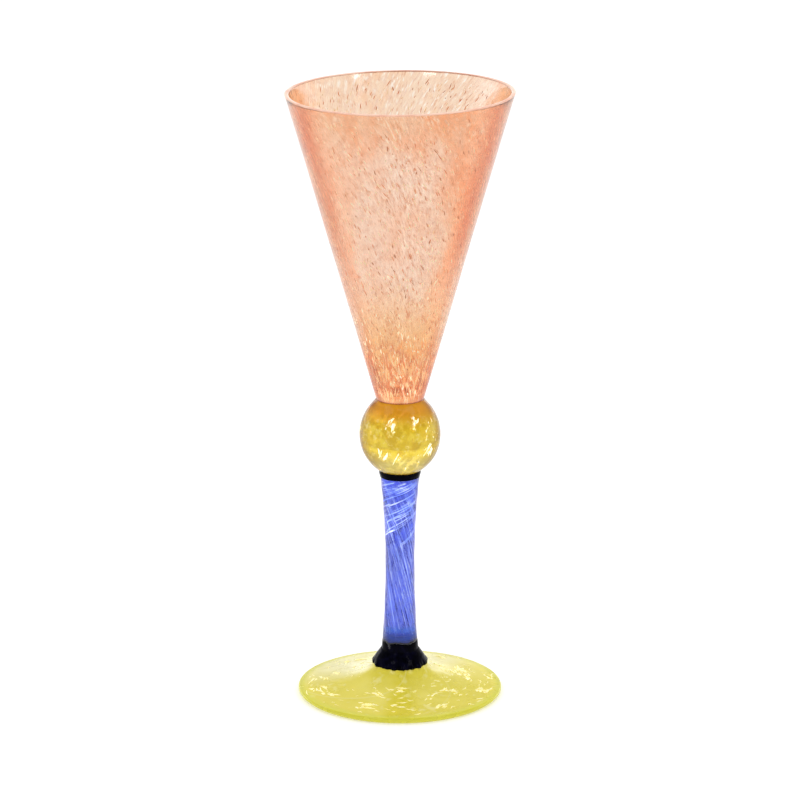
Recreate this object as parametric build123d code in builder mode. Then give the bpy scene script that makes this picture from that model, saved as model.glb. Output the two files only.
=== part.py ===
"""A champagne flute of hand-made studio glass: six pieces, joined hot, on one upright axis.

From the table up: foot, lower collar, stem, upper collar, ball knop and bowl. Each piece is a turned
solid that meets the next on a flat round joint. Millimetres, +Z up, origin at the centre of the foot's
resting plane.
"""

import os

from build123d import *

# Overall
TOTAL_HEIGHT = 225.0
RIM_RADIUS = 41.2
FOOT_RADIUS = 37.5

# Heights of the flat joints between the pieces, from the table up
FOOT_JOINT = 10.8
LOWER_COLLAR_JOINT = 16.4
STEM_JOINT = 82.7
UPPER_COLLAR_JOINT = 85.3
BALL_JOINT = 112.0

# Bowl: a straight cone, thicker towards its base, with a fire-polished lip
BOWL_BASE_RADIUS = 8.6
BOWL_BASE_ROUNDING = 0.5
LIP_WALL = 1.5
LOWER_WALL = 2.1
BOWL_FLOOR = 114.6
FLOOR_ROUNDING = 5.0
LIP_ROUNDING = 0.68

# Ball knop: a slightly tall ball, cut flat below and drawn up into a low seat for the bowl
BALL_CENTRE = 98.7
BALL_RADIUS = 14.8
BALL_HALF_HEIGHT = 15.8
SEAT_RADIUS = 8.5
SEAT_DEPTH = 1.5
SEAT_BLEND = 1.2

# Upper collar: a thin cup that the ball sits in
UPPER_COLLAR_RADIUS = 7.65
UPPER_COLLAR_ROUNDING = 0.4

# Stem: drawn to a waist, wider at both ends
STEM_TOP_RADIUS = 7.15
STEM_WAIST_RADIUS = 5.3
STEM_WAIST_HEIGHT = 50.0
STEM_BASE_RADIUS = 6.7

# Lower collar: a short skirt that flares out on to the foot
SKIRT_TOP_RADIUS = 7.0
SKIRT_TOP_ROUNDING = 0.4
SKIRT_RADIUS = 10.1
SKIRT_EDGE = 0.9
SKIRT_BULGE = 0.2

# Foot: a trumpet-shaped disc, hollow underneath, that stands on a narrow flat ring
FOOT_SEAT_RADIUS = 9.8
FOOT_SHOULDER = (12.2, 5.6)
FOOT_APRON = (19.0, 3.6)
FOOT_EDGE_THICKNESS = 2.3
FOOT_EDGE_ROUNDING = 1.0
RING_OUTER_RADIUS = 36.3
RING_INNER_RADIUS = 33.8
HOLLOW_HEIGHT = 3.0


def circles_at(part, height):
    """The round edges of a turned part that lie at a height, the smallest first."""
    level = part.edges().filter_by_position(Axis.Z, height - 0.01, height + 0.01)
    return level.filter_by(GeomType.CIRCLE).sort_by(SortBy.RADIUS)


# --- bowl ---
# The outside is one straight cone from the base to the rim, so the floor's radius follows from it.
FLARE = (RIM_RADIUS - BOWL_BASE_RADIUS) / (TOTAL_HEIGHT - BALL_JOINT)
FLOOR_RADIUS = BOWL_BASE_RADIUS + FLARE * (BOWL_FLOOR - BALL_JOINT) - LOWER_WALL

with BuildPart() as bowl:
    with BuildSketch(Plane.XZ):
        with BuildLine():
            Polyline(
                (0, BALL_JOINT),
                (BOWL_BASE_RADIUS, BALL_JOINT),
                (RIM_RADIUS, TOTAL_HEIGHT),
                (RIM_RADIUS - LIP_WALL, TOTAL_HEIGHT),
                (FLOOR_RADIUS, BOWL_FLOOR),
                (0, BOWL_FLOOR),
                close=True,
            )
        make_face()
    revolve(axis=Axis.Z)
    fillet(circles_at(bowl, BALL_JOINT), BOWL_BASE_ROUNDING)
    fillet(circles_at(bowl, BOWL_FLOOR), FLOOR_ROUNDING)
    fillet(circles_at(bowl, TOTAL_HEIGHT), LIP_ROUNDING)

# --- ball knop ---
with BuildPart() as ball_knop:
    with BuildSketch(Plane.XZ):
        with Locations((0, BALL_CENTRE)):
            Ellipse(BALL_RADIUS, BALL_HALF_HEIGHT)
        with Locations((0, UPPER_COLLAR_JOINT)):
            Rectangle(
                2 * BALL_RADIUS,
                BALL_JOINT - UPPER_COLLAR_JOINT,
                align=Align.MIN,
                mode=Mode.INTERSECT,
            )
    revolve(axis=Axis.Z)
    with Locations((0, 0, BALL_JOINT)):
        Cylinder(SEAT_RADIUS, SEAT_DEPTH, align=(Align.CENTER, Align.CENTER, Align.MAX))
    meeting = ball_knop.edges().filter_by(GeomType.CIRCLE).sort_by(Axis.Z)[-2]
    fillet(meeting, SEAT_BLEND)

# --- upper collar ---
with BuildPart() as upper_collar:
    with BuildSketch(Plane.XZ):
        with BuildLine():
            flank = TangentArc(
                (STEM_TOP_RADIUS, STEM_JOINT),
                (UPPER_COLLAR_RADIUS, UPPER_COLLAR_JOINT),
                tangent=(1, 2),
            )
            Polyline(flank @ 1, (0, UPPER_COLLAR_JOINT), (0, STEM_JOINT), flank @ 0)
        make_face()
    revolve(axis=Axis.Z)
    fillet(circles_at(upper_collar, UPPER_COLLAR_JOINT), UPPER_COLLAR_ROUNDING)

# --- stem ---
with BuildPart() as stem:
    with BuildSketch(Plane.XZ):
        with BuildLine():
            waist = (STEM_WAIST_RADIUS, STEM_WAIST_HEIGHT)
            upper = TangentArc(waist, (STEM_TOP_RADIUS, STEM_JOINT), tangent=(0, 1))
            lower = TangentArc(waist, (STEM_BASE_RADIUS, LOWER_COLLAR_JOINT), tangent=(0, -1))
            Polyline(upper @ 1, (0, STEM_JOINT), (0, LOWER_COLLAR_JOINT), lower @ 1)
        make_face()
    revolve(axis=Axis.Z)

# --- lower collar ---
with BuildPart() as lower_collar:
    with BuildSketch(Plane.XZ):
        with BuildLine():
            skirt = SagittaArc(
                (SKIRT_TOP_RADIUS, LOWER_COLLAR_JOINT),
                (SKIRT_RADIUS, FOOT_JOINT + SKIRT_EDGE),
                SKIRT_BULGE,
            )
            Polyline(
                skirt @ 1,
                (SKIRT_RADIUS, FOOT_JOINT),
                (0, FOOT_JOINT),
                (0, LOWER_COLLAR_JOINT),
                skirt @ 0,
            )
        make_face()
    revolve(axis=Axis.Z)
    fillet(circles_at(lower_collar, LOWER_COLLAR_JOINT), SKIRT_TOP_ROUNDING)

# --- foot ---
with BuildPart() as foot:
    with BuildSketch(Plane.XZ):
        with BuildLine():
            top = Bezier(
                (FOOT_SEAT_RADIUS, FOOT_JOINT),
                FOOT_SHOULDER,
                FOOT_APRON,
                (FOOT_RADIUS, FOOT_EDGE_THICKNESS),
            )
            hollow = TangentArc((0, HOLLOW_HEIGHT), (RING_INNER_RADIUS, 0), tangent=(1, 0))
            Polyline(
                top @ 1,
                (FOOT_RADIUS, FOOT_EDGE_ROUNDING),
                (RING_OUTER_RADIUS, 0),
                hollow @ 1,
            )
            Polyline(hollow @ 0, (0, FOOT_JOINT), top @ 0)
        make_face()
    revolve(axis=Axis.Z)
    fillet(circles_at(foot, FOOT_EDGE_THICKNESS), FOOT_EDGE_ROUNDING)

# --- one file per piece ---
os.makedirs("parts", exist_ok=True)
pieces = {
    "bowl": bowl,
    "ball_knop": ball_knop,
    "upper_collar": upper_collar,
    "stem": stem,
    "lower_collar": lower_collar,
    "foot": foot,
}
for name, piece in pieces.items():
    piece.part.label = name
    export_step(piece.part, f"parts/{name}.step")
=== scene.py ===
import math
import random

import bpy
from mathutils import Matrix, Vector, noise


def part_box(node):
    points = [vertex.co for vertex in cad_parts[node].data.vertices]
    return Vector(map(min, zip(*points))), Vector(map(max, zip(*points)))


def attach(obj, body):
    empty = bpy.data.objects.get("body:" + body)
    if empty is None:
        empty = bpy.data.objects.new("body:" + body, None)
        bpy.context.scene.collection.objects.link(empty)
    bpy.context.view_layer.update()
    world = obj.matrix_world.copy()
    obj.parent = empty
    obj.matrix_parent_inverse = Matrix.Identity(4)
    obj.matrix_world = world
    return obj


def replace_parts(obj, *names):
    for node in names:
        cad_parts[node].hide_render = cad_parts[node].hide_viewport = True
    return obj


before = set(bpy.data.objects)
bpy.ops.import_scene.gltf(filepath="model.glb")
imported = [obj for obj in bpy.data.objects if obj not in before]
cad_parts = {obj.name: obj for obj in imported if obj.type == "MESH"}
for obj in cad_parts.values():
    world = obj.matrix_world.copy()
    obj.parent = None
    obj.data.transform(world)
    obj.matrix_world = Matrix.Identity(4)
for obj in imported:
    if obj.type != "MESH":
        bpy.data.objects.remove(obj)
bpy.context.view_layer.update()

random.seed(7)
MM = 0.001

# ---------------------------------------------------------------------------------------------------
# Sizes, in metres. Heights and outer radii come from the CAD nodes, and the rest shapes what lies
# between them.
# ---------------------------------------------------------------------------------------------------

BOX = {node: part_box(node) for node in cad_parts}


def bottom(node):
    return BOX[node][0].z


def top(node):
    return BOX[node][1].z


def radius(node):
    return BOX[node][1].x


# Each piece reaches this far past its joints, into its neighbour, so that no two glass surfaces coincide.
FUSE = 0.06 * MM

# The bowl: a cone that aims at RIM, with a polished lip and a thick base. RIM is a little wider than the
# CAD's widest place, because the rounding of the lip cuts that corner. RIM_TILT is the slope of the rim.
RIM = radius("bowl") + 0.2 * MM
RIM_TILT = 0.011
LIP_WALL = 1.5 * MM
LIP_ROUNDING = 0.68 * MM
LOWER_WALL = 2.1 * MM
BOWL_BASE = 8.6 * MM
BOWL_BASE_ROUNDING = 0.5 * MM
BOWL_FLOOR = 2.6 * MM
FLOOR_ROUNDING = 5.0 * MM
# How far the blowing twisted the colour in the bowl, in radians for each metre of height.
BOWL_TWIST = 11.0

# The ball, and the seat that it is drawn up into under the bowl.
KNOP_CENTRE = 98.7 * MM
KNOP_HALF_HEIGHT = 15.8 * MM
SEAT = 8.5 * MM
# The higher this power, the sharper the corner between the ball and its seat.
SEAT_POWER = 12

# The stem's radius at its top, waist and base.
STEM_TOP = 7.15 * MM
STEM_WAIST = 5.3 * MM
STEM_WAIST_HEIGHT = 50.0 * MM
STEM_BASE = 6.7 * MM
RIBS = 9
RIB_DEPTH = 0.05 * MM
# The twist of the faint streaks in its glass, in radians for each metre of height.
STREAK_TWIST = 70.0

# The lower collar's skirt, and the black sleeve round the foot of the stem, which is painted dark for
# the collar's black seen through the stem.
SKIRT_TOP = 7.0 * MM
SKIRT_EDGE = 0.9 * MM
SLEEVE_TOP = 3.7 * MM
SLEEVE_SKIN = 0.08 * MM
# The share of the sleeve's height that its top dips by at most.
SLEEVE_DIP = 0.35
# How high the skirt's ragged hem reaches, and how deep its broad and its fine bites are.
HEM = 2.5 * MM
BROAD_BITE = 0.6 * MM
FINE_BITE = 0.7 * MM

# The foot: its top runs from the seat of the collar past two control points to the edge, and it stands
# on a narrow ring round a shallow hollow.
FOOT_SEAT = 9.8 * MM
FOOT_SHOULDER = (12.2 * MM, 5.6 * MM)
FOOT_APRON = (19.0 * MM, 3.6 * MM)
FOOT_EDGE = 2.3 * MM
RING_OUTER = 36.3 * MM
RING_INNER = 33.8 * MM
HOLLOW = 3.0 * MM
# The spiral of the streaks in its glass, in radians for each metre from the axis.
FOOT_SWIRL = 60.0

# How fast the unevenness of hand-made glass changes, round the axis and along it.
WANDER_ROUND = 1.3
WANDER_RISE = 32.5

# ---------------------------------------------------------------------------------------------------
# Mesh helpers
# ---------------------------------------------------------------------------------------------------


def add_mesh(name, points, faces, material, sharp=40):
    """A smooth-shaded mesh piece on the root body, with the material that it is given."""
    mesh = bpy.data.meshes.new(name)
    mesh.from_pydata(points, [], faces)
    mesh.validate()
    mesh.polygons.foreach_set("use_smooth", [True] * len(mesh.polygons))
    mesh.set_sharp_from_angle(angle=math.radians(sharp))
    mesh.materials.append(material)
    piece = bpy.data.objects.new(name, mesh)
    bpy.context.scene.collection.objects.link(piece)
    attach(piece, "root")
    return piece


def rounded(corners, steps=7):
    """The outline through corners of (radius, height, rounding), with an arc for each rounding."""
    outline = []
    for i, (r, z, rounding) in enumerate(corners):
        here = Vector((r, z))
        if not rounding:
            outline.append(here)
            continue
        before = (Vector(corners[i - 1][:2]) - here).normalized()
        after = (Vector(corners[i + 1][:2]) - here).normalized()
        half = before.angle(after) / 2
        centre = here + (before + after).normalized() * rounding / math.sin(half)
        start = here + before * rounding / math.tan(half) - centre
        end = here + after * rounding / math.tan(half) - centre
        sweep = start.angle(end)
        for k in range(steps + 1):
            t = k / steps
            share_start = math.sin((1 - t) * sweep) / math.sin(sweep)
            share_end = math.sin(t * sweep) / math.sin(sweep)
            outline.append(centre + start * share_start + end * share_end)
    return outline


def bezier(a, b, c, d, steps=32):
    """Points along a cubic curve."""
    points = []
    for k in range(steps + 1):
        t = k / steps
        u = 1 - t
        weights = (u ** 3, 3 * u * u * t, 3 * u * t * t, t ** 3)
        points.append(sum((Vector(p) * w for p, w in zip((a, b, c, d), weights)), Vector((0, 0))))
    return points


def divided(outline, step):
    """The same outline with its long straight runs cut into steps."""
    fine = [Vector(outline[0])]
    for start, end in zip(outline, outline[1:]):
        start, end = Vector(start), Vector(end)
        count = max(1, math.ceil((end - start).length / step))
        fine += [start.lerp(end, k / count) for k in range(1, count + 1)]
    return fine


def turned(outline, wander=0.0, ripple=None, sides=192):
    """Points and faces of a closed solid turned about Z from an outline that starts and ends on the axis.

    wander is how far the wall strays from round, and ripple(angle, height) adds a radius of its own.
    """
    points = []
    faces = []
    rings = outline[1:-1]
    for r, z in rings:
        for i in range(sides):
            angle = math.tau * i / sides
            flat = WANDER_ROUND * math.cos(angle), WANDER_ROUND * math.sin(angle)
            out = r + wander * noise.noise(Vector((*flat, WANDER_RISE * z)))
            if ripple:
                out += ripple(angle, z)
            points.append((out * math.cos(angle), out * math.sin(angle), z))
    for k in range(len(rings) - 1):
        for i in range(sides):
            j = (i + 1) % sides
            low, high = k * sides, (k + 1) * sides
            faces.append((low + i, low + j, high + j, high + i))
    first, last = len(points), len(points) + 1
    points += [(0, 0, outline[0][1]), (0, 0, outline[-1][1])]
    end = (len(rings) - 1) * sides
    for i in range(sides):
        j = (i + 1) % sides
        faces.append((first, j, i))
        faces.append((last, end + i, end + j))
    return points, faces


def hoop(reach, level, wide, tall, around=240, sides=12):
    """Points and faces of a level hoop round the axis, with an oval section of the given half axes."""
    points = []
    faces = []
    for k in range(around):
        turn = math.tau * k / around
        for i in range(sides):
            angle = math.tau * i / sides
            r = reach + wide * math.cos(angle)
            points.append((r * math.cos(turn), r * math.sin(turn), level + tall * math.sin(angle)))
    for k in range(around):
        for i in range(sides):
            j = (i + 1) % sides
            here, there = k * sides, (k + 1) % around * sides
            faces.append((here + i, there + i, there + j, here + j))
    return points, faces


def tube(path, widths, sides=8):
    """Points and faces of a closed tube along a path, with a width at each point of it."""
    points = []
    faces = []
    side = Vector((0, 0, 1))
    for k, here in enumerate(path):
        ahead = path[min(k + 1, len(path) - 1)] - path[max(k - 1, 0)]
        across = ahead.cross(side).normalized()
        up = across.cross(ahead).normalized()
        for i in range(sides):
            angle = math.tau * i / sides
            points.append(here + (across * math.cos(angle) + up * math.sin(angle)) * widths[k])
    for k in range(len(path) - 1):
        for i in range(sides):
            j = (i + 1) % sides
            low, high = k * sides, (k + 1) * sides
            faces.append((low + i, high + i, high + j, low + j))
    faces.append(tuple(range(sides)))
    faces.append(tuple(reversed(range(len(points) - sides, len(points)))))
    return points, faces


def chip(centre, axes, sides=9, rows=5):
    """Points and faces of one ragged pebble with the given three half axes."""
    points = []
    faces = []
    for k in range(1, rows):
        tilt = math.pi * k / rows
        for i in range(sides):
            angle = math.tau * i / sides
            ragged = random.uniform(0.55, 1.25)
            flat = math.sin(tilt) * ragged
            shape = (math.cos(angle) * flat, math.sin(angle) * flat, math.cos(tilt))
            points.append(centre + sum((a * s for a, s in zip(axes, shape)), Vector((0, 0, 0))))
    for k in range(rows - 2):
        for i in range(sides):
            j = (i + 1) % sides
            low, high = k * sides, (k + 1) * sides
            faces.append((low + i, high + i, high + j, low + j))
    points += [centre + axes[2], centre - axes[2]]
    last = (rows - 2) * sides
    for i in range(sides):
        j = (i + 1) % sides
        faces.append((len(points) - 2, i, j))
        faces.append((len(points) - 1, last + j, last + i))
    return points, faces


def joined(parts):
    """One list of points and one of faces from several."""
    points = []
    faces = []
    for part_points, part_faces in parts:
        base = len(points)
        points += part_points
        faces += [tuple(base + index for index in face) for face in part_faces]
    return points, faces


# ---------------------------------------------------------------------------------------------------
# Material helpers
# ---------------------------------------------------------------------------------------------------


def srgb(red, green, blue):
    """A colour from screen values of 0 to 255."""
    shares = [value / 255 for value in (red, green, blue)]
    linear = [((s + 0.055) / 1.055) ** 2.4 if s > 0.04045 else s / 12.92 for s in shares]
    return (*linear, 1.0)


class Shader:
    """A material's nodes, with short ways to add them.

    add gives back a node, and the methods that work out a value, a colour or a direction give a socket.
    """

    def __init__(self, name):
        self.material = bpy.data.materials.new(name)
        self.material.use_nodes = True
        self.tree = self.material.node_tree
        self.tree.nodes.clear()
        self.output = self.tree.nodes.new("ShaderNodeOutputMaterial")

    def add(self, kind, inputs, **settings):
        node = self.tree.nodes.new("ShaderNode" + kind)
        for name, value in settings.items():
            setattr(node, name, value)
        for name, value in inputs.items():
            if isinstance(value, bpy.types.NodeSocket):
                self.tree.links.new(value, node.inputs[name])
            else:
                node.inputs[name].default_value = value
        return node

    def math(self, operation, a, b=0.0):
        return self.add("Math", {0: a, 1: b}, operation=operation).outputs[0]

    def mix(self, share, a, b, blend="MIX"):
        return self.add("Mix", {0: share, 6: a, 7: b}, data_type="RGBA", blend_type=blend).outputs[2]

    def between(self, value, low, high, to_low=0.0, to_high=1.0):
        """value moved smoothly from to_low, at low, to to_high, at high."""
        inputs = {"Value": value, "From Min": low, "From Max": high, "To Min": to_low, "To Max": to_high}
        return self.add("MapRange", inputs, interpolation_type="SMOOTHSTEP").outputs[0]

    def noise(self, where, scale, detail=2.0, rough=0.5):
        inputs = {"Vector": where, "Scale": scale, "Detail": detail, "Roughness": rough}
        return self.add("TexNoise", inputs).outputs["Fac"]

    def place(self):
        return self.add("TexCoord", {}).outputs["Object"]

    def reach(self):
        """The distance from the axis."""
        flat = self.add("VectorMath", {0: self.place(), 1: (1, 1, 0)}, operation="MULTIPLY").outputs[0]
        return self.add("VectorMath", {0: flat}, operation="LENGTH").outputs["Value"]

    def height(self):
        return self.add("SeparateXYZ", {0: self.place()}).outputs["Z"]

    def climb(self, node, start, end, full=1.0):
        """0 at start and full at end, which are heights in mm above the node's bottom."""
        low = bottom(node)
        return self.between(self.height(), low + start * MM, low + end * MM, 0.0, full)

    def outward(self):
        """The level unit vector that points from the axis to the surface."""
        flat = self.add("VectorMath", {0: self.place(), 1: (1, 1, 0)}, operation="MULTIPLY").outputs[0]
        return self.add("VectorMath", {0: flat}, operation="NORMALIZE").outputs[0]

    def side(self, azimuth):
        """1 on the side of the glass at that azimuth in degrees, 0 square to it, -1 opposite."""
        towards = (math.cos(math.radians(azimuth)), math.sin(math.radians(azimuth)), 0)
        dot = self.add("VectorMath", {0: self.outward(), 1: towards}, operation="DOT_PRODUCT")
        return dot.outputs["Value"]

    def spun(self, stretch, turn):
        """Coordinates wrapped round the axis, with turn radians of twist and the height times stretch."""
        inputs = {"Vector": self.outward(), "Angle": turn}
        twist = self.add("VectorRotate", inputs, rotation_type="Z_AXIS")
        parts = self.add("SeparateXYZ", {0: twist.outputs[0]}).outputs
        rise = self.math("MULTIPLY", self.height(), stretch)
        return self.add("CombineXYZ", {0: parts[0], 1: parts[1], 2: rise}).outputs[0]

    def moved(self, where, offset):
        return self.add("VectorMath", {0: where, 1: offset}, operation="ADD").outputs[0]

    def edge_on(self, low, high):
        """0 where the surface faces the eye, 1 where it is seen edge on. It changes from low to high."""
        return self.between(self.add("LayerWeight", {"Blend": 0.5}).outputs["Facing"], low, high)

    def bump(self, height, distance):
        return self.add("Bump", {"Height": height, "Distance": distance, "Strength": 1.0}).outputs[0]

    def glass(self, colour, roughness, normal, transmission=1.0, gloss=0.5, glow=0.0):
        """The surface: clear coloured glass, or milky glass when transmission is below 1."""
        inputs = {
            "Base Color": colour,
            "Roughness": roughness,
            "Normal": normal,
            "Transmission Weight": transmission,
            "IOR": 1.5,
            "Specular IOR Level": gloss,
        }
        # glow is painted light: the surface gives off a weak light of its own colour.
        if glow:
            inputs["Emission Color"] = colour
            inputs["Emission Strength"] = glow
        shader = self.add("BsdfPrincipled", inputs)
        self.tree.links.new(shader.outputs[0], self.output.inputs["Surface"])
        return self.material

    def absorb(self, colour, density):
        """Colour that deepens with the thickness of the glass."""
        volume = self.add("VolumeAbsorption", {"Color": colour, "Density": density})
        self.tree.links.new(volume.outputs[0], self.output.inputs["Volume"])


# ---------------------------------------------------------------------------------------------------
# Materials
# ---------------------------------------------------------------------------------------------------


def bowl_glass():
    """Peach glass, rolled in crushed colour and then blown and spun, so that the flecks are drawn out."""
    s = Shader("bowl_glass")
    turn = s.math("MULTIPLY", s.height(), BOWL_TWIST)
    fine = s.spun(7.0, turn)
    broad = s.spun(14.0, turn)

    # The ground: peach, paler on the front and the back, orange in patches, warm behind the rim, and
    # yellower and then cream towards the base. The yellower band is partly the thicker glass and partly
    # painted light from the yellow ball beneath.
    patches = s.between(s.noise(broad, 1.6, 3.0), 0.40, 0.60)
    peach = s.mix(patches, srgb(248, 226, 206), srgb(247, 212, 184))
    in_front = s.between(s.side(-102), 0.42, 0.93)
    pale_front = s.math("MULTIPLY", in_front, s.climb("bowl", 116, 88))
    behind = s.between(s.side(92), 0.45, 0.90)
    pale_back = s.math("MULTIPLY", behind, s.climb("bowl", 96, 78, 0.6))
    pale = s.math("MAXIMUM", pale_front, pale_back)
    ground = s.mix(pale, peach, srgb(250, 242, 236))
    orange = s.between(s.noise(s.moved(broad, (7, 1, 3)), 1.9, 4.0, 0.6), 0.46, 0.60)
    orange = s.math("MULTIPLY", orange, s.between(pale, 0.0, 1.0, 1.0, 0.15))
    ground = s.mix(orange, ground, srgb(249, 196, 158))
    warm_rim = s.math("MULTIPLY", s.between(s.side(110), 0.2, 0.8), s.climb("bowl", 86, 98, 0.35))
    ground = s.mix(warm_rim, ground, srgb(240, 208, 172))
    # Yellower low down: partly the thicker glass, partly painted light from the yellow ball beneath.
    ground = s.mix(s.climb("bowl", 46, 18), ground, srgb(248, 220, 178))
    ground = s.mix(s.climb("bowl", 10, 4), ground, srgb(252, 234, 206))

    # The flecks: a grain all over, and slivers of brown and cream in drifts.
    grain = s.noise(fine, 44.0, 5.0, 0.8)
    colour = s.mix(s.between(grain, 0.48, 0.64), ground, srgb(236, 202, 182))
    drifts = s.between(s.noise(s.moved(broad, (2, 5, 8)), 2.2, 2.0), 0.30, 0.52, 0.35, 1.0)
    brown = s.between(s.noise(s.moved(fine, (4, 2, 9)), 52.0, 3.0, 0.7), 0.56, 0.65)
    colour = s.mix(s.math("MULTIPLY", brown, drifts), colour, srgb(228, 176, 142))
    cream = s.between(s.noise(s.moved(fine, (8, 6, 1)), 46.0, 3.0, 0.7), 0.55, 0.64)
    colour = s.mix(s.math("MULTIPLY", cream, drifts), colour, srgb(255, 253, 246))

    # The colour is a thin layer, so it deepens where the wall is seen edge on, least of all part way up.
    thick = s.math("MAXIMUM", s.climb("bowl", 38, 73), s.climb("bowl", 34, 16))
    deepening = s.math("MULTIPLY", s.edge_on(0.33, 0.64), s.between(thick, 0.0, 1.0, 0.35, 1.0))
    colour = s.mix(deepening, colour, srgb(234, 172, 128), "MULTIPLY")
    base_edge = s.math("MULTIPLY", s.edge_on(0.25, 0.70), s.climb("bowl", 20, 6))
    colour = s.mix(base_edge, colour, srgb(190, 146, 132), "MULTIPLY")
    rough = s.between(grain, 0.3, 0.7, 0.06, 0.14)
    normal = s.bump(s.noise(fine, 12.0, 2.0), 0.06 * MM)
    s.absorb((1.0, 0.62, 0.30, 1.0), 60.0)
    return s.glass(colour, rough, normal)


def knop_glass():
    """Golden glass, streaked with olive and amber, and orange where it meets the bowl: painted light, the
    bowl's orange seen through the top of the ball.
    """
    s = Shader("knop_glass")
    murk = s.noise(s.spun(60.0, 0.6), 3.0, 4.0, 0.65)
    colour = s.mix(s.between(murk, 0.40, 0.60), srgb(244, 222, 78), srgb(224, 194, 46))
    olive = s.between(s.noise(s.place(), 150.0, 4.0, 0.65), 0.50, 0.62)
    colour = s.mix(s.math("MULTIPLY", olive, 0.8), colour, srgb(206, 172, 36))
    pale = s.between(s.noise(s.moved(s.place(), (3, 1, 2)), 380.0, 3.0, 0.7), 0.55, 0.66)
    colour = s.mix(s.math("MULTIPLY", pale, 0.8), colour, srgb(253, 240, 150))
    # Paler towards the bottom: painted light that brightens the lower part of the ball.
    colour = s.mix(s.climb("ball_knop", 10.4, 2.4, 0.8), colour, srgb(248, 240, 168))
    # Orange at the top: painted light, the bowl's orange seen through the top of the ball.
    colour = s.mix(s.climb("ball_knop", 17.7, 24.7), colour, srgb(228, 152, 34))
    colour = s.mix(s.edge_on(0.25, 0.85), colour, srgb(176, 160, 60), "MULTIPLY")
    rough = s.between(murk, 0.3, 0.7, 0.02, 0.08)
    normal = s.bump(s.noise(s.place(), 130.0, 2.0), 0.6 * MM)
    s.absorb((0.90, 0.82, 0.20, 1.0), 30.0)
    # The weak glow is painted light that lifts the whole ball.
    return s.glass(colour, rough, normal, transmission=0.5, gloss=0.1, glow=0.06)


def stem_glass():
    """Blue glass with a violet outline, turning teal and then navy at its foot, the navy painted dark for
    the black collar seen through it.
    """
    s = Shader("stem_glass")
    turn = s.math("MULTIPLY", s.height(), STREAK_TWIST)
    streaks = s.noise(s.spun(14.0, turn), 9.0, 4.0, 0.65)
    colour = s.mix(s.between(streaks, 0.4, 0.62), srgb(190, 200, 255), srgb(250, 250, 255))
    colour = s.mix(s.climb("stem", 8.4, 5.8), colour, srgb(100, 182, 216))
    # Navy at the foot: painted dark for the black collar seen through the stem.
    colour = s.mix(s.climb("stem", 5.8, 3.6), colour, srgb(36, 60, 150))
    violet = s.mix(s.climb("stem", 43.6, 61.6), srgb(184, 162, 212), srgb(144, 126, 172))
    colour = s.mix(s.edge_on(0.30, 0.75), colour, violet, "MULTIPLY")
    rough = s.between(streaks, 0.3, 0.7, 0.02, 0.08)
    normal = s.bump(streaks, 0.1 * MM)
    s.absorb((0.12, 0.26, 0.84, 1.0), 182.0)
    return s.glass(colour, rough, normal, gloss=0.12)


def collar_glass():
    """Near-black glass with a trace of cobalt in patches."""
    s = Shader("collar_glass")
    wear = s.noise(s.place(), 400.0, 4.0)
    colour = s.mix(s.between(wear, 0.4, 0.7), srgb(3, 3, 9), srgb(10, 9, 30))
    rough = s.between(wear, 0.3, 0.7, 0.06, 0.16)
    normal = s.bump(s.noise(s.place(), 350.0, 3.0), 0.3 * MM)
    return s.glass(colour, rough, normal, transmission=0.0, gloss=0.02)


def foot_glass():
    """Yellow-green glass, greener at its edge and paler at the back, with pale streaks and smears. The
    paler back is a painted reflection of the bright room behind.
    """
    s = Shader("foot_glass")
    cloud = s.noise(s.place(), 90.0, 3.0)
    colour = s.mix(s.between(cloud, 0.4, 0.65), srgb(244, 230, 80), srgb(236, 222, 60))
    spun = s.spun(0.0, s.math("MULTIPLY", s.reach(), FOOT_SWIRL))
    swirl = s.noise(spun, 5.0, 4.0, 0.7)
    colour = s.mix(s.between(swirl, 0.55, 0.72), colour, srgb(250, 240, 140))
    smears = s.between(s.noise(s.place(), 190.0, 4.0, 0.6), 0.57, 0.68)
    colour = s.mix(s.math("MULTIPLY", smears, 0.7), colour, srgb(255, 246, 150))
    # Paler at the back: a painted reflection of the bright room behind the glass.
    painted_back_reflection = s.math("MULTIPLY", s.between(s.side(110), 0.1, 0.9), 0.6)
    colour = s.mix(painted_back_reflection, colour, srgb(250, 247, 210))
    edge = s.between(s.reach(), radius("foot") - 4.0 * MM, radius("foot") - 0.3 * MM)
    colour = s.mix(edge, colour, srgb(226, 222, 66))
    rough = s.between(cloud, 0.3, 0.7, 0.2, 0.3)
    normal = s.bump(s.noise(s.place(), 120.0, 2.0), 0.2 * MM)
    s.absorb((0.95, 0.92, 0.05, 1.0), 60.0)
    # The weak glow is painted light that lifts the whole foot.
    return s.glass(colour, rough, normal, transmission=0.12, gloss=0.3, glow=0.03)


def fleck_glass(name, light, dark, scale, glow):
    """Milky glass, clouded between two colours, for the lip, the seam and what is sealed in clear glass.

    The weak glow stands for the light that is trapped in real glass and lights up what lies inside it.
    """
    s = Shader(name)
    cloud = s.noise(s.place(), scale, 3.0)
    colour = s.mix(s.between(cloud, 0.35, 0.65), light, dark)
    rough = s.between(cloud, 0.3, 0.7, 0.2, 0.4)
    normal = s.bump(cloud, 0.2 * MM)
    return s.glass(colour, rough, normal, transmission=0.0, glow=glow)


def white_card():
    """A white table top lit from inside, very slightly uneven."""
    s = Shader("white_card")
    grain = s.noise(s.place(), 60.0, 4.0)
    colour = s.mix(grain, (0.80, 0.80, 0.80, 1.0), (0.82, 0.82, 0.82, 1.0))
    rough = s.between(grain, 0.3, 0.7, 0.7, 0.8)
    normal = s.bump(grain, 0.1 * MM)
    return s.glass(colour, rough, normal, transmission=0.0, glow=0.4)


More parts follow.
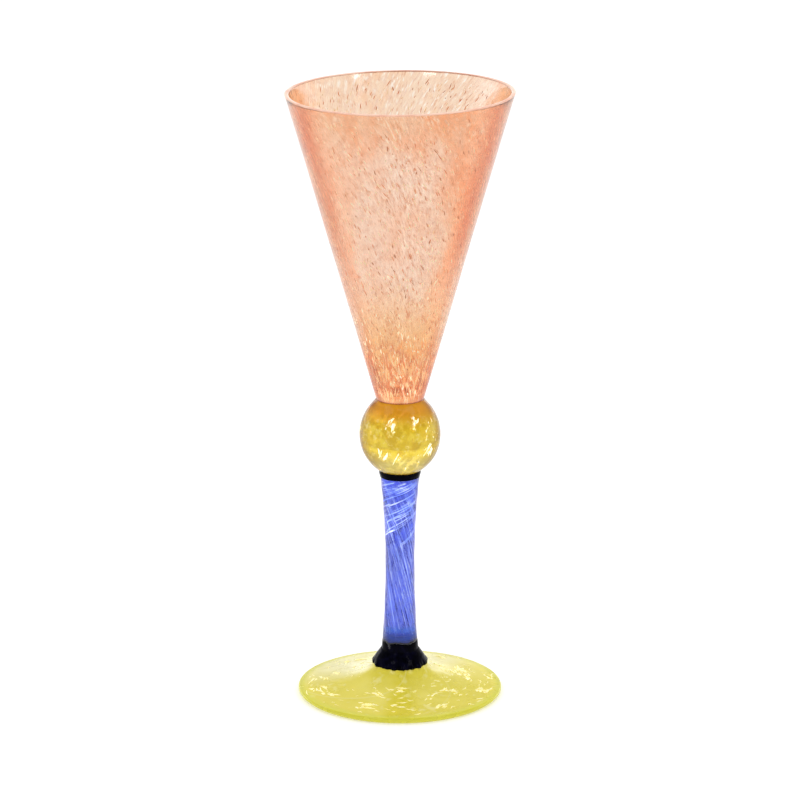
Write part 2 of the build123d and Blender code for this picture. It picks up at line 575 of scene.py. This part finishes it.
BOWL_GLASS = bowl_glass()
KNOP_GLASS = knop_glass()
STEM_GLASS = stem_glass()
COLLAR_GLASS = collar_glass()
FOOT_GLASS = foot_glass()
LIP_GLASS = fleck_glass("lip_glass", srgb(243, 200, 176), srgb(235, 180, 154), 120.0, 0.1)
SEAM_GLASS = fleck_glass("seam_glass", srgb(190, 96, 50), srgb(150, 66, 30), 300.0, 0.0)
BASE_LINING = fleck_glass("base_lining", srgb(252, 218, 170), srgb(244, 196, 146), 300.0, 0.36)
CREAM_GLASS = fleck_glass("cream_slivers", srgb(255, 243, 218), srgb(252, 226, 184), 200.0, 0.46)
ORANGE_GLASS = fleck_glass("orange_slivers", srgb(240, 174, 132), srgb(228, 150, 108), 200.0, 0.32)
BROWN_GLASS = fleck_glass("brown_slivers", srgb(216, 156, 120), srgb(196, 132, 96), 200.0, 0.28)
GOLD_CLOUD = fleck_glass("gold_cloud", srgb(230, 196, 90), srgb(214, 174, 70), 300.0, 0.3)
GOLD_FLECKS = fleck_glass("gold_flecks", srgb(255, 251, 222), srgb(253, 236, 160), 400.0, 0.5)
FOOT_FLECKS = fleck_glass("foot_flecks", srgb(255, 248, 190), srgb(251, 238, 155), 300.0, 0.28)
PALE_THREADS = fleck_glass("pale_threads", srgb(226, 238, 255), srgb(160, 190, 255), 200.0, 0.65)
TEAL_HAZE = fleck_glass("teal_haze", srgb(84, 126, 204), srgb(60, 98, 176), 300.0, 0.25)
DARK_THREADS = fleck_glass("dark_threads", srgb(50, 55, 200), srgb(25, 25, 130), 200.0, 0.1)

# ---------------------------------------------------------------------------------------------------
# Bowl
# ---------------------------------------------------------------------------------------------------


def lean(points):
    """The points with the bowl's hand-made lean: its rim isn't quite level and is highest at +X."""
    base, rim = bottom("bowl"), top("bowl")
    return [(x, y, z + RIM_TILT * x * max(0.0, (z - base) / (rim - base)) ** 2) for x, y, z in points]


def build_bowl():
    """The straight cone, with its rounded lip, rounded floor and thick base."""
    base, rim = bottom("bowl"), top("bowl")
    floor = base + BOWL_FLOOR
    inner_floor = BOWL_BASE + (RIM - BOWL_BASE) * BOWL_FLOOR / (rim - base) - LOWER_WALL
    outline = rounded(
        [
            (0, base - FUSE, 0),
            (BOWL_BASE, base - FUSE, BOWL_BASE_ROUNDING),
            (RIM, rim, LIP_ROUNDING),
            (RIM - LIP_WALL, rim, LIP_ROUNDING),
            (inner_floor, floor, FLOOR_ROUNDING),
            (0, floor, 0),
        ]
    )
    points, faces = turned(divided(outline, 2 * MM), wander=0.15 * MM)
    return add_mesh("bowl_wall", lean(points), faces, BOWL_GLASS)


def build_lip():
    """The fire-polished edge, where the colour is densest: a bead round the top of the wall."""
    half_wide = LIP_WALL / 2 + 0.03 * MM
    half_tall = 0.32 * MM
    level = top("bowl") - 0.26 * MM
    points, faces = hoop(RIM - LIP_WALL / 2, level, half_wide, half_tall)
    return add_mesh("bowl_lip", lean(points), faces, LIP_GLASS)


def build_seam():
    """The thin dark line where the bowl was joined to the ball."""
    points, faces = hoop(BOWL_BASE - 0.05 * MM, bottom("bowl") + 0.05 * MM, 0.14 * MM, 0.16 * MM)
    return add_mesh("bowl_seam", points, faces, SEAM_GLASS)


def build_base_lining():
    """A layer of colour inside the thick base, under the floor of the bowl."""
    base = bottom("bowl")
    wide = BOWL_BASE - 1.0 * MM
    outline = [
        (0, base + 0.4 * MM),
        (wide, base + 0.4 * MM),
        (wide + 0.2 * MM, base + 2.0 * MM),
        (0, base + 2.2 * MM),
    ]
    points, faces = turned(divided(outline, 0.8 * MM), wander=0.3 * MM, sides=96)
    return add_mesh("bowl_base_lining", points, faces, BASE_LINING)


def bowl_reach(z):
    """The bowl's outer radius at a height, a hair less than the wall's own near the rim."""
    base, rim = bottom("bowl"), top("bowl")
    return BOWL_BASE + (radius("bowl") - BOWL_BASE) * (z - base) / (rim - base)


def build_slivers(name, count, heights, crowding, lengths, widths, depth, material):
    """Crushed glass in the bowl's wall, drawn out along its twist.

    heights, lengths and widths are ranges in metres. A crowding above 1 gathers the slivers low down and
    one below 1 gathers them high up. depth is how far under the outside they lie, and the thickest of the
    shallow ones stand a little proud.
    """
    slivers = []
    steps = 5
    low, high = heights
    for _ in range(count):
        start = bottom("bowl") + low + (high - low) * random.random() ** crowding
        angle = random.uniform(0, math.tau)
        length = random.uniform(*lengths)
        thick = random.uniform(*widths)
        stray = random.gauss(0, 0.25)
        path = []
        thickness = []
        for k in range(steps + 1):
            t = k / steps
            z = start + length * t
            r = bowl_reach(z) - depth
            turn = angle - BOWL_TWIST * length * t + stray * length * t / r
            path.append(Vector((r * math.cos(turn), r * math.sin(turn), z)))
            thickness.append(thick * (0.2 + math.sin(math.pi * t)))
        slivers.append(tube(path, thickness, sides=5))
    points, faces = joined(slivers)
    return add_mesh(name, lean(points), faces, material)


# ---------------------------------------------------------------------------------------------------
# Ball knop
# ---------------------------------------------------------------------------------------------------


def knop_radius(z):
    """The ball's radius at a height, with the low seat that it is drawn up into under the bowl."""
    ball = radius("ball_knop") * math.sqrt(max(0.0, 1 - ((z - KNOP_CENTRE) / KNOP_HALF_HEIGHT) ** 2))
    if z < KNOP_CENTRE:
        return ball
    return (ball ** SEAT_POWER + SEAT ** SEAT_POWER) ** (1 / SEAT_POWER)


def build_knop():
    """The ball, cut flat where it meets the collar and the bowl."""
    low, high = bottom("ball_knop") - FUSE, top("ball_knop") + FUSE
    outline = [(0, low)]
    steps = 56
    for k in range(steps + 1):
        z = low + (high - low) * k / steps
        outline.append((knop_radius(z), z))
    outline.append((0, high))
    points, faces = turned(outline, wander=0.2 * MM)
    return add_mesh("knop_ball", points, faces, KNOP_GLASS)


FLAKES_IN_CLUSTER = 6
FLAKE_HALF_THICKNESS = 0.28 * MM
CRUMBS = 240

# How far out the clusters and the crumbs lie, as shares of the ball's radius.
CLUSTER_REACH = 0.985
CRUMB_REACH = 0.980

# Where the brightest clusters lie in the ball, as azimuth and elevation in degrees, and how far each is
# drawn out. The two high ones on the front are painted highlights, bright flakes set where the highlights
# of the front soft boxes fall; the rest are flakes.
FLAKE_CLUSTERS_AND_HIGHLIGHTS = [
    (-104, 24, 1.0),
    (-62, 26, 1.0),
    (-92, -28, 2.4),
    (-78, -34, 1.8),
    (-66, -24, 1.7),
    (-110, -20, 1.3),
    (-46, -12, 1.5),
    (60, 15, 1.2),
    (120, -20, 1.8),
    (180, 5, 1.0),
]


def knop_chip(azimuth, elevation, size, length, slant, reach):
    """One flake at a share of the ball's radius, drawn out in a direction slanted from upright."""
    turn, rise = math.radians(azimuth), math.radians(elevation)
    out = Vector((math.cos(turn) * math.cos(rise), math.sin(turn) * math.cos(rise), math.sin(rise)))
    side = Vector((-math.sin(turn), math.cos(turn), 0))
    upright = out.cross(side)
    along = upright * math.cos(slant) + side * math.sin(slant)
    across = out.cross(along)
    wide = radius("ball_knop") * reach
    tall = KNOP_HALF_HEIGHT * reach
    centre = Vector((out.x * wide, out.y * wide, KNOP_CENTRE + out.z * tall))
    return chip(centre, (along * size * length, across * size * 0.7, out * FLAKE_HALF_THICKNESS))


def build_knop_flecks():
    """Crushed glass under the ball's surface: bright clusters, drawn-out slivers and crumbs. Two of the
    bright clusters are painted highlights.
    """
    chips = []
    for azimuth, elevation, drawn in FLAKE_CLUSTERS_AND_HIGHLIGHTS:
        for _ in range(FLAKES_IN_CLUSTER):
            place = (random.gauss(azimuth, 5), random.gauss(elevation, 5))
            size = random.uniform(0.45, 1.3) / drawn ** 0.5 * MM
            length = random.uniform(1.0, 2.0) * drawn
            slant = random.gauss(0.3, 0.6 / drawn)
            chips.append(knop_chip(*place, size, length, slant, CLUSTER_REACH))
    for _ in range(CRUMBS):
        place = (random.uniform(-180, 180), math.degrees(math.asin(random.uniform(-0.85, 0.7))))
        size = random.uniform(0.15, 0.6) * MM
        length = random.uniform(1.0, 4.0)
        slant = random.gauss(0.3, 0.5)
        chips.append(knop_chip(*place, size, length, slant, CRUMB_REACH))
    points, faces = joined(chips)
    return add_mesh("knop_flecks", points, faces, GOLD_FLECKS, sharp=25)


def build_knop_cloud():
    """Murky gold inside the ball, against the collar below it."""
    low = bottom("ball_knop") + 0.2 * MM
    outline = [(0, low), (6.9 * MM, low), (6.0 * MM, low + 1.4 * MM), (0, low + 1.8 * MM)]
    points, faces = turned(divided(outline, 0.6 * MM), wander=1.0 * MM, sides=64)
    return add_mesh("knop_cloud", points, faces, GOLD_CLOUD)


# ---------------------------------------------------------------------------------------------------
# Stem and its threads
# ---------------------------------------------------------------------------------------------------


def stem_radius(z):
    """The stem's radius at a height: a waist, wider at both ends."""
    if z > STEM_WAIST_HEIGHT:
        end, end_height = STEM_TOP, top("stem")
    else:
        end, end_height = STEM_BASE, bottom("stem")
    share = (z - STEM_WAIST_HEIGHT) / (end_height - STEM_WAIST_HEIGHT)
    return STEM_WAIST + (end - STEM_WAIST) * share ** 2


def stem_turn(share):
    """How far the stem has been twisted at a share of its height: gently, then tight near the top."""
    return -(3.0 * share + 1.2 * share ** 3)


def wrap_turn(share):
    """The shallow wraps near the top of the stem run the other way round."""
    return 14.0 * share ** 2


def build_stem():
    """The rod, with faint ribs that follow its twist."""
    low, high = bottom("stem"), top("stem")
    steps = 90
    outline = [(0, low - FUSE)]
    for k in range(steps + 1):
        z = low - FUSE + (high - low + 2 * FUSE) * k / steps
        outline.append((stem_radius(z), z))
    outline.append((0, high + FUSE))

    def ribs(angle, z):
        share = (z - low) / (high - low)
        return RIB_DEPTH * math.cos(RIBS * (angle - stem_turn(share)))

    points, faces = turned(outline, wander=0.05 * MM, ripple=ribs)
    return add_mesh("stem_rod", points, faces, STEM_GLASS)


def build_threads(name, count, span, length, turn, depth, width, material):
    """Colour threads inside the stem that follow a twist.

    span is where they start and length is how far they run, both as ranges of shares of the height.
    turn(share) is the twist. depth is a range of shares of the stem's radius, and width a range of radii.
    """
    low, high = bottom("stem"), top("stem")
    threads = []
    for _ in range(count):
        start = random.uniform(0, math.tau)
        inside = random.uniform(*depth)
        thick = random.uniform(*width)
        drift = random.uniform(-0.3, 0.3)
        first = random.uniform(*span)
        last = min(0.99, first + random.uniform(*length))
        steps = max(16, round(120 * (last - first)))
        path = []
        widths = []
        for k in range(steps + 1):
            t = k / steps
            share = first + (last - first) * t
            z = low + (high - low) * share
            angle = start + turn(share) + drift * share
            r = stem_radius(z) * inside
            path.append(Vector((r * math.cos(angle), r * math.sin(angle), z)))
            taper = min(1.0, 8 * t + 0.1, 8 * (1 - t) + 0.1)
            ragged = 0.7 + 0.5 * noise.noise(Vector((start * 9, share * 14, inside)))
            widths.append(thick * taper * ragged)
        threads.append(tube(path, widths, sides=6))
    points, faces = joined(threads)
    return add_mesh(name, points, faces, material)


def build_haze():
    """Teal glass at the foot of the stem, where the blue runs into the black sleeve."""
    low = bottom("stem") + 2.6 * MM
    outline = [
        (0, low),
        (5.4 * MM, low),
        (5.1 * MM, low + 1.6 * MM),
        (3.4 * MM, low + 2.6 * MM),
        (0, low + 3.0 * MM),
    ]
    points, faces = turned(divided(outline, 0.5 * MM), wander=0.5 * MM, sides=64)
    return add_mesh("stem_haze", points, faces, TEAL_HAZE)


# ---------------------------------------------------------------------------------------------------
# Collars
# ---------------------------------------------------------------------------------------------------


def build_upper_collar():
    """The thin ring between the ball and the stem, wider at its top."""
    low, high = bottom("upper_collar") - FUSE, top("upper_collar") + FUSE
    wide = radius("upper_collar")
    middle = (low + high) / 2
    corners = [
        (0, low, 0),
        (STEM_TOP + 0.05 * MM, low, 0),
        (wide - 0.1 * MM, middle, 0.8 * MM),
        (wide, high, 0.4 * MM),
        (0, high, 0),
    ]
    points, faces = turned(divided(rounded(corners), 0.4 * MM), wander=0.2 * MM)
    return add_mesh("collar_upper", points, faces, COLLAR_GLASS)


def build_sleeve():
    """A black sleeve round the foot of the stem, with an uneven top: painted dark for the black collar
    seen through the stem's glass.
    """
    low, high = bottom("stem"), bottom("stem") + SLEEVE_TOP
    rises = (-FUSE, 0.8 * MM, 1.6 * MM, 2.3 * MM, 2.9 * MM, 3.3 * MM)
    outline = [(0, low - FUSE)]
    outline += [(stem_radius(low + rise) + SLEEVE_SKIN, low + rise) for rise in rises]
    outline += [(stem_radius(high) - 0.25 * MM, high), (0, high)]
    points, faces = turned(outline)

    def uneven(x, y, z):
        """A point drawn down by an amount that changes round the stem."""
        angle = math.atan2(y, x)
        dip = SLEEVE_DIP * abs(noise.noise(Vector((math.cos(angle) * 2, math.sin(angle) * 2, 3))))
        return (x, y, low + (z - low) * (1 - dip))

    return add_mesh("stem_foot_painted_dark", [uneven(*p) for p in points], faces, COLLAR_GLASS)


def build_lower_collar():
    """The skirt that joins the stem to the foot."""
    low, high = bottom("lower_collar") - FUSE, top("lower_collar") + FUSE
    wide = radius("lower_collar")
    corners = [
        (0, low, 0),
        (wide, low, 0.35 * MM),
        (wide, low + SKIRT_EDGE, 0.4 * MM),
        ((wide + SKIRT_TOP) / 2 + 0.2 * MM, (low + SKIRT_EDGE + high) / 2, 0),
        (SKIRT_TOP, high, 0.4 * MM),
        (0, high, 0),
    ]

    def ragged(angle, z):
        """The skirt's hem, where the soft glass was pressed down, is uneven."""
        hem = max(0.0, 1 - (z - low) / HEM)
        where = Vector((math.cos(angle) * 3, math.sin(angle) * 3, 5))
        return hem * (BROAD_BITE * noise.noise(where) + FINE_BITE * noise.noise(where * 3.1))

    points, faces = turned(divided(rounded(corners), 0.35 * MM), 0.1 * MM, ragged)
    return add_mesh("collar_lower", points, faces, COLLAR_GLASS)


# ---------------------------------------------------------------------------------------------------
# Foot and its flecks
# ---------------------------------------------------------------------------------------------------


FOOT_START = (FOOT_SEAT, top("foot") + FUSE)
FOOT_TOP = bezier(FOOT_START, FOOT_SHOULDER, FOOT_APRON, (radius("foot"), FOOT_EDGE))
FLECK_SUNK = 0.04 * MM
CRUMB_HALF_THICKNESS = 0.16 * MM


def build_foot():
    """The foot, hollowed underneath by a shallow sphere."""
    sphere = (RING_INNER ** 2 + HOLLOW ** 2) / (2 * HOLLOW)
    hollow = []
    steps = 24
    for k in range(steps + 1):
        r = RING_INNER * k / steps
        hollow.append((r, HOLLOW - sphere + math.sqrt(sphere ** 2 - r ** 2)))
    edge = rounded(
        [
            (RING_INNER, 0, 0),
            (RING_OUTER, 0, 0.4 * MM),
            (radius("foot"), 1.0 * MM, 0.4 * MM),
            (radius("foot"), FOOT_EDGE, 0.7 * MM),
            (FOOT_APRON[0], FOOT_APRON[1], 0),
        ]
    )
    upper = [p for p in reversed(FOOT_TOP) if p.x < radius("foot") - 1.2 * MM]
    outline = hollow + edge[1:-1] + upper + [(0, top("foot") + FUSE)]
    points, faces = turned(divided(outline, 1.2 * MM), wander=0.12 * MM)
    return add_mesh("foot_disc", points, faces, FOOT_GLASS)


def foot_height(r):
    """The height of the foot's top at a radius."""
    for inner, outer in zip(FOOT_TOP, FOOT_TOP[1:]):
        if inner.x <= r <= outer.x:
            return inner.y + (outer.y - inner.y) * (r - inner.x) / (outer.x - inner.x)
    return FOOT_EDGE


def foot_crumb(r, angle, size):
    """A flat crumb in the foot's top."""
    out = Vector((math.cos(angle), math.sin(angle), 0))
    round_it = Vector((-math.sin(angle), math.cos(angle), 0))
    along = (round_it + out * random.uniform(-0.8, 0.8)).normalized()
    across = Vector((0, 0, 1)).cross(along)
    axes = (along * size * random.uniform(1, 2.2), across * size, Vector((0, 0, CRUMB_HALF_THICKNESS)))
    return chip(out * r + Vector((0, 0, foot_height(r) - FLECK_SUNK)), axes)


def foot_streak(r, start, length, thick):
    """A short wavy streak in the foot's top, drawn round the axis."""
    drift = random.uniform(-0.5, 0.5)
    wave = random.uniform(0.1, 0.4) * MM
    steps = 14
    path = []
    widths = []
    for k in range(steps + 1):
        t = k / steps
        reach = r + length * drift * t + wave * math.sin(6 * t + start * 5)
        angle = start + length * t / r
        z = foot_height(reach) - FLECK_SUNK
        path.append(Vector((reach * math.cos(angle), reach * math.sin(angle), z)))
        ragged = 0.7 + 0.8 * noise.noise(Vector((start * 7, t * 6, 1)))
        widths.append(thick * ragged * (0.15 + math.sin(math.pi * t)))
    return tube(path, widths, sides=6)


def build_foot_flecks(clusters=40, loners=120):
    """Pale crumbs and streaks, some in clusters where a chip of glass broke up."""
    pieces = []
    for _ in range(clusters):
        r = math.sqrt(random.uniform(0.16, 0.80)) * radius("foot")
        angle = random.uniform(0, math.tau)
        for _ in range(3):
            near = r + random.gauss(0, 0.7) * MM
            turn = angle + random.gauss(0, 0.9) * MM / r
            pieces.append(foot_crumb(near, turn, random.uniform(0.3, 0.7) * MM))
        for _ in range(2):
            near = r + random.gauss(0, 0.8) * MM
            length = random.uniform(2.5, 6.5) * MM
            pieces.append(foot_streak(near, angle, length, random.uniform(0.2, 0.42) * MM))
    for _ in range(loners):
        r = math.sqrt(random.uniform(0.14, 0.88)) * radius("foot")
        angle = random.uniform(0, math.tau)
        length = random.uniform(1.0, 3.5) * MM
        pieces.append(foot_streak(r, angle, length, random.uniform(0.12, 0.3) * MM))
    points, faces = joined(pieces)
    return add_mesh("foot_flecks", points, faces, FOOT_FLECKS, sharp=25)


# ---------------------------------------------------------------------------------------------------
# Everything together
# ---------------------------------------------------------------------------------------------------

# Under the outside of the bowl's wall: deep flecks take its tint, and shallow ones show their own colour.
DEEP = 0.5 * MM
SHALLOW = 0.14 * MM

# For the slivers in the bowl: heights above its bottom, crowding, lengths and widths.
IN_BASE = ((0.1 * MM, 16.0 * MM), 1.3, (2.0 * MM, 7.0 * MM), (0.08 * MM, 0.26 * MM))
IN_WALL = ((3.0 * MM, 108.0 * MM), 0.8, (0.6 * MM, 2.4 * MM), (0.06 * MM, 0.20 * MM))

# For the threads in the stem: where they start and how far they run, as shares of its height.
WHOLE = ((0.07, 0.10), (0.80, 0.90))
DASHES = ((0.07, 0.90), (0.08, 0.30))
WRAPS = ((0.60, 0.95), (0.03, 0.10))
CAP = ((0.935, 0.97), (0.012, 0.02))

# Radii of the threads.
FINE = (0.04 * MM, 0.13 * MM)
BROAD = (0.08 * MM, 0.32 * MM)

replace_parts(build_bowl(), "bowl")
build_lip()
build_seam()
build_base_lining()
build_slivers("bowl_cream_slivers", 280, *IN_BASE, DEEP, CREAM_GLASS)
build_slivers("bowl_orange_slivers", 230, *IN_BASE, DEEP, ORANGE_GLASS)
build_slivers("bowl_cream_flecks", 2000, *IN_WALL, SHALLOW, CREAM_GLASS)
build_slivers("bowl_orange_flecks", 1000, *IN_WALL, DEEP, ORANGE_GLASS)
build_slivers("bowl_brown_flecks", 500, *IN_WALL, DEEP, BROWN_GLASS)
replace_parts(build_knop(), "ball_knop")
build_knop_cloud()
build_knop_flecks()
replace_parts(build_upper_collar(), "upper_collar")
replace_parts(build_stem(), "stem")
build_threads("stem_pale_threads", 24, *WHOLE, stem_turn, (0.60, 0.97), FINE, PALE_THREADS)
build_threads("stem_pale_dashes", 90, *DASHES, stem_turn, (0.70, 0.97), FINE, PALE_THREADS)
build_threads("stem_dark_threads", 30, *WHOLE, stem_turn, (0.60, 0.97), FINE, DARK_THREADS)
build_threads("stem_wraps", 76, *WRAPS, wrap_turn, (0.80, 0.97), BROAD, PALE_THREADS)
build_threads("stem_dark_wraps", 24, *WRAPS, wrap_turn, (0.80, 0.97), FINE, DARK_THREADS)
build_threads("stem_cap_wraps", 20, *CAP, wrap_turn, (0.85, 0.97), BROAD, PALE_THREADS)
build_haze()
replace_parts(build_lower_collar(), "lower_collar")
build_sleeve()
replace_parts(build_foot(), "foot")
build_foot_flecks()

# ---------------------------------------------------------------------------------------------------
# Studio: a white floor, a grey room, three soft boxes and the camera
# ---------------------------------------------------------------------------------------------------


def build_floor(reach=5.0, sides=64):
    """A round white floor."""
    points = [(0.0, 0.0, 0.0)]
    faces = []
    for i in range(sides):
        angle = math.tau * i / sides
        points.append((reach * math.cos(angle), reach * math.sin(angle), 0.0))
        faces.append((0, 1 + i, 1 + (i + 1) % sides))
    mesh = bpy.data.meshes.new("floor")
    mesh.from_pydata(points, [], faces)
    mesh.materials.append(white_card())
    floor = bpy.data.objects.new("floor", mesh)
    bpy.context.scene.collection.objects.link(floor)


# How bright the room's horizon is in front of the glass and behind it, and the share left high up.
ROOM_FRONT = 0.8
ROOM_BACK = 2.0
ROOM_ABOVE = 0.3

# Where the camera stands, how many degrees it looks down, and its focal length in mm.
CAMERA_PLACE = (0.0, -1.3825, 0.5009)
CAMERA_DIP = 15.737
CAMERA_LENS = 178.05


def add_soft_box(name, place, target, size, power):
    """A rectangular light of that size in metres and power in watts, aimed at the target."""
    light = bpy.data.lights.new(name, "AREA")
    light.shape = "RECTANGLE"
    light.size, light.size_y = size
    light.energy = power
    lamp = bpy.data.objects.new(name, light)
    lamp.location = place
    lamp.rotation_euler = (Vector(target) - Vector(place)).to_track_quat("-Z", "Y").to_euler()
    bpy.context.scene.collection.objects.link(lamp)


def build_room():
    """A grey room with a bright horizon, brightest behind the glass. The camera itself sees it white."""
    world = bpy.data.worlds.new("room")
    world.use_nodes = True
    nodes, links = world.node_tree.nodes, world.node_tree.links

    def math_node(operation, a, b):
        node = nodes.new("ShaderNodeMath")
        node.operation = operation
        for socket, value in zip(node.inputs, (a, b)):
            if isinstance(value, bpy.types.NodeSocket):
                links.new(value, socket)
            else:
                socket.default_value = value
        return node.outputs[0]

    def ramp(value, low, high, to_low, to_high):
        node = nodes.new("ShaderNodeMapRange")
        node.interpolation_type = "SMOOTHSTEP"
        numbers = {"From Min": low, "From Max": high, "To Min": to_low, "To Max": to_high}
        for name, number in numbers.items():
            node.inputs[name].default_value = number
        links.new(value, node.inputs["Value"])
        return node.outputs[0]

    where = nodes.new("ShaderNodeTexCoord")
    parts = nodes.new("ShaderNodeSeparateXYZ")
    links.new(where.outputs["Generated"], parts.inputs[0])
    behind = ramp(parts.outputs["Y"], -0.5, 0.5, ROOM_FRONT, ROOM_BACK)
    horizon = ramp(parts.outputs["Z"], 0.32, 0.04, ROOM_ABOVE, 1.0)
    seen = nodes.new("ShaderNodeLightPath").outputs["Is Camera Ray"]
    strength = math_node("MAXIMUM", seen, math_node("MULTIPLY", behind, horizon))
    links.new(strength, nodes["Background"].inputs["Strength"])
    nodes["Background"].inputs["Color"].default_value = (1.0, 1.0, 1.0, 1.0)
    bpy.context.scene.world = world


def build_studio():
    build_floor()
    build_room()
    add_soft_box("box_overhead", (0.0, 0.8, 1.8), (0, 0.5, 0), (3.0, 3.0), 27.0)
    add_soft_box("box_left", (-0.55, -0.85, 0.82), (0, 0, 0.1), (0.24, 0.32), 2.0)
    add_soft_box("box_right", (0.82, -0.75, 0.88), (0, 0, 0.1), (0.2, 0.44), 2.2)


def add_camera():
    """A long lens, a little above the glass and looking down, so that both ellipses show."""
    lens = bpy.data.cameras.new("camera")
    lens.lens = CAMERA_LENS
    lens.clip_start = 0.05
    camera = bpy.data.objects.new("camera", lens)
    camera.location = CAMERA_PLACE
    camera.rotation_euler = (math.radians(90 - CAMERA_DIP), 0, 0)
    bpy.context.scene.collection.objects.link(camera)
    bpy.context.scene.camera = camera


build_studio()
add_camera()

scene = bpy.context.scene
scene.view_settings.view_transform = "Standard"
scene.cycles.max_bounces = 24
scene.cycles.transmission_bounces = 24
scene.cycles.diffuse_bounces = 6
scene.cycles.glossy_bounces = 8
scene.cycles.use_denoising = True
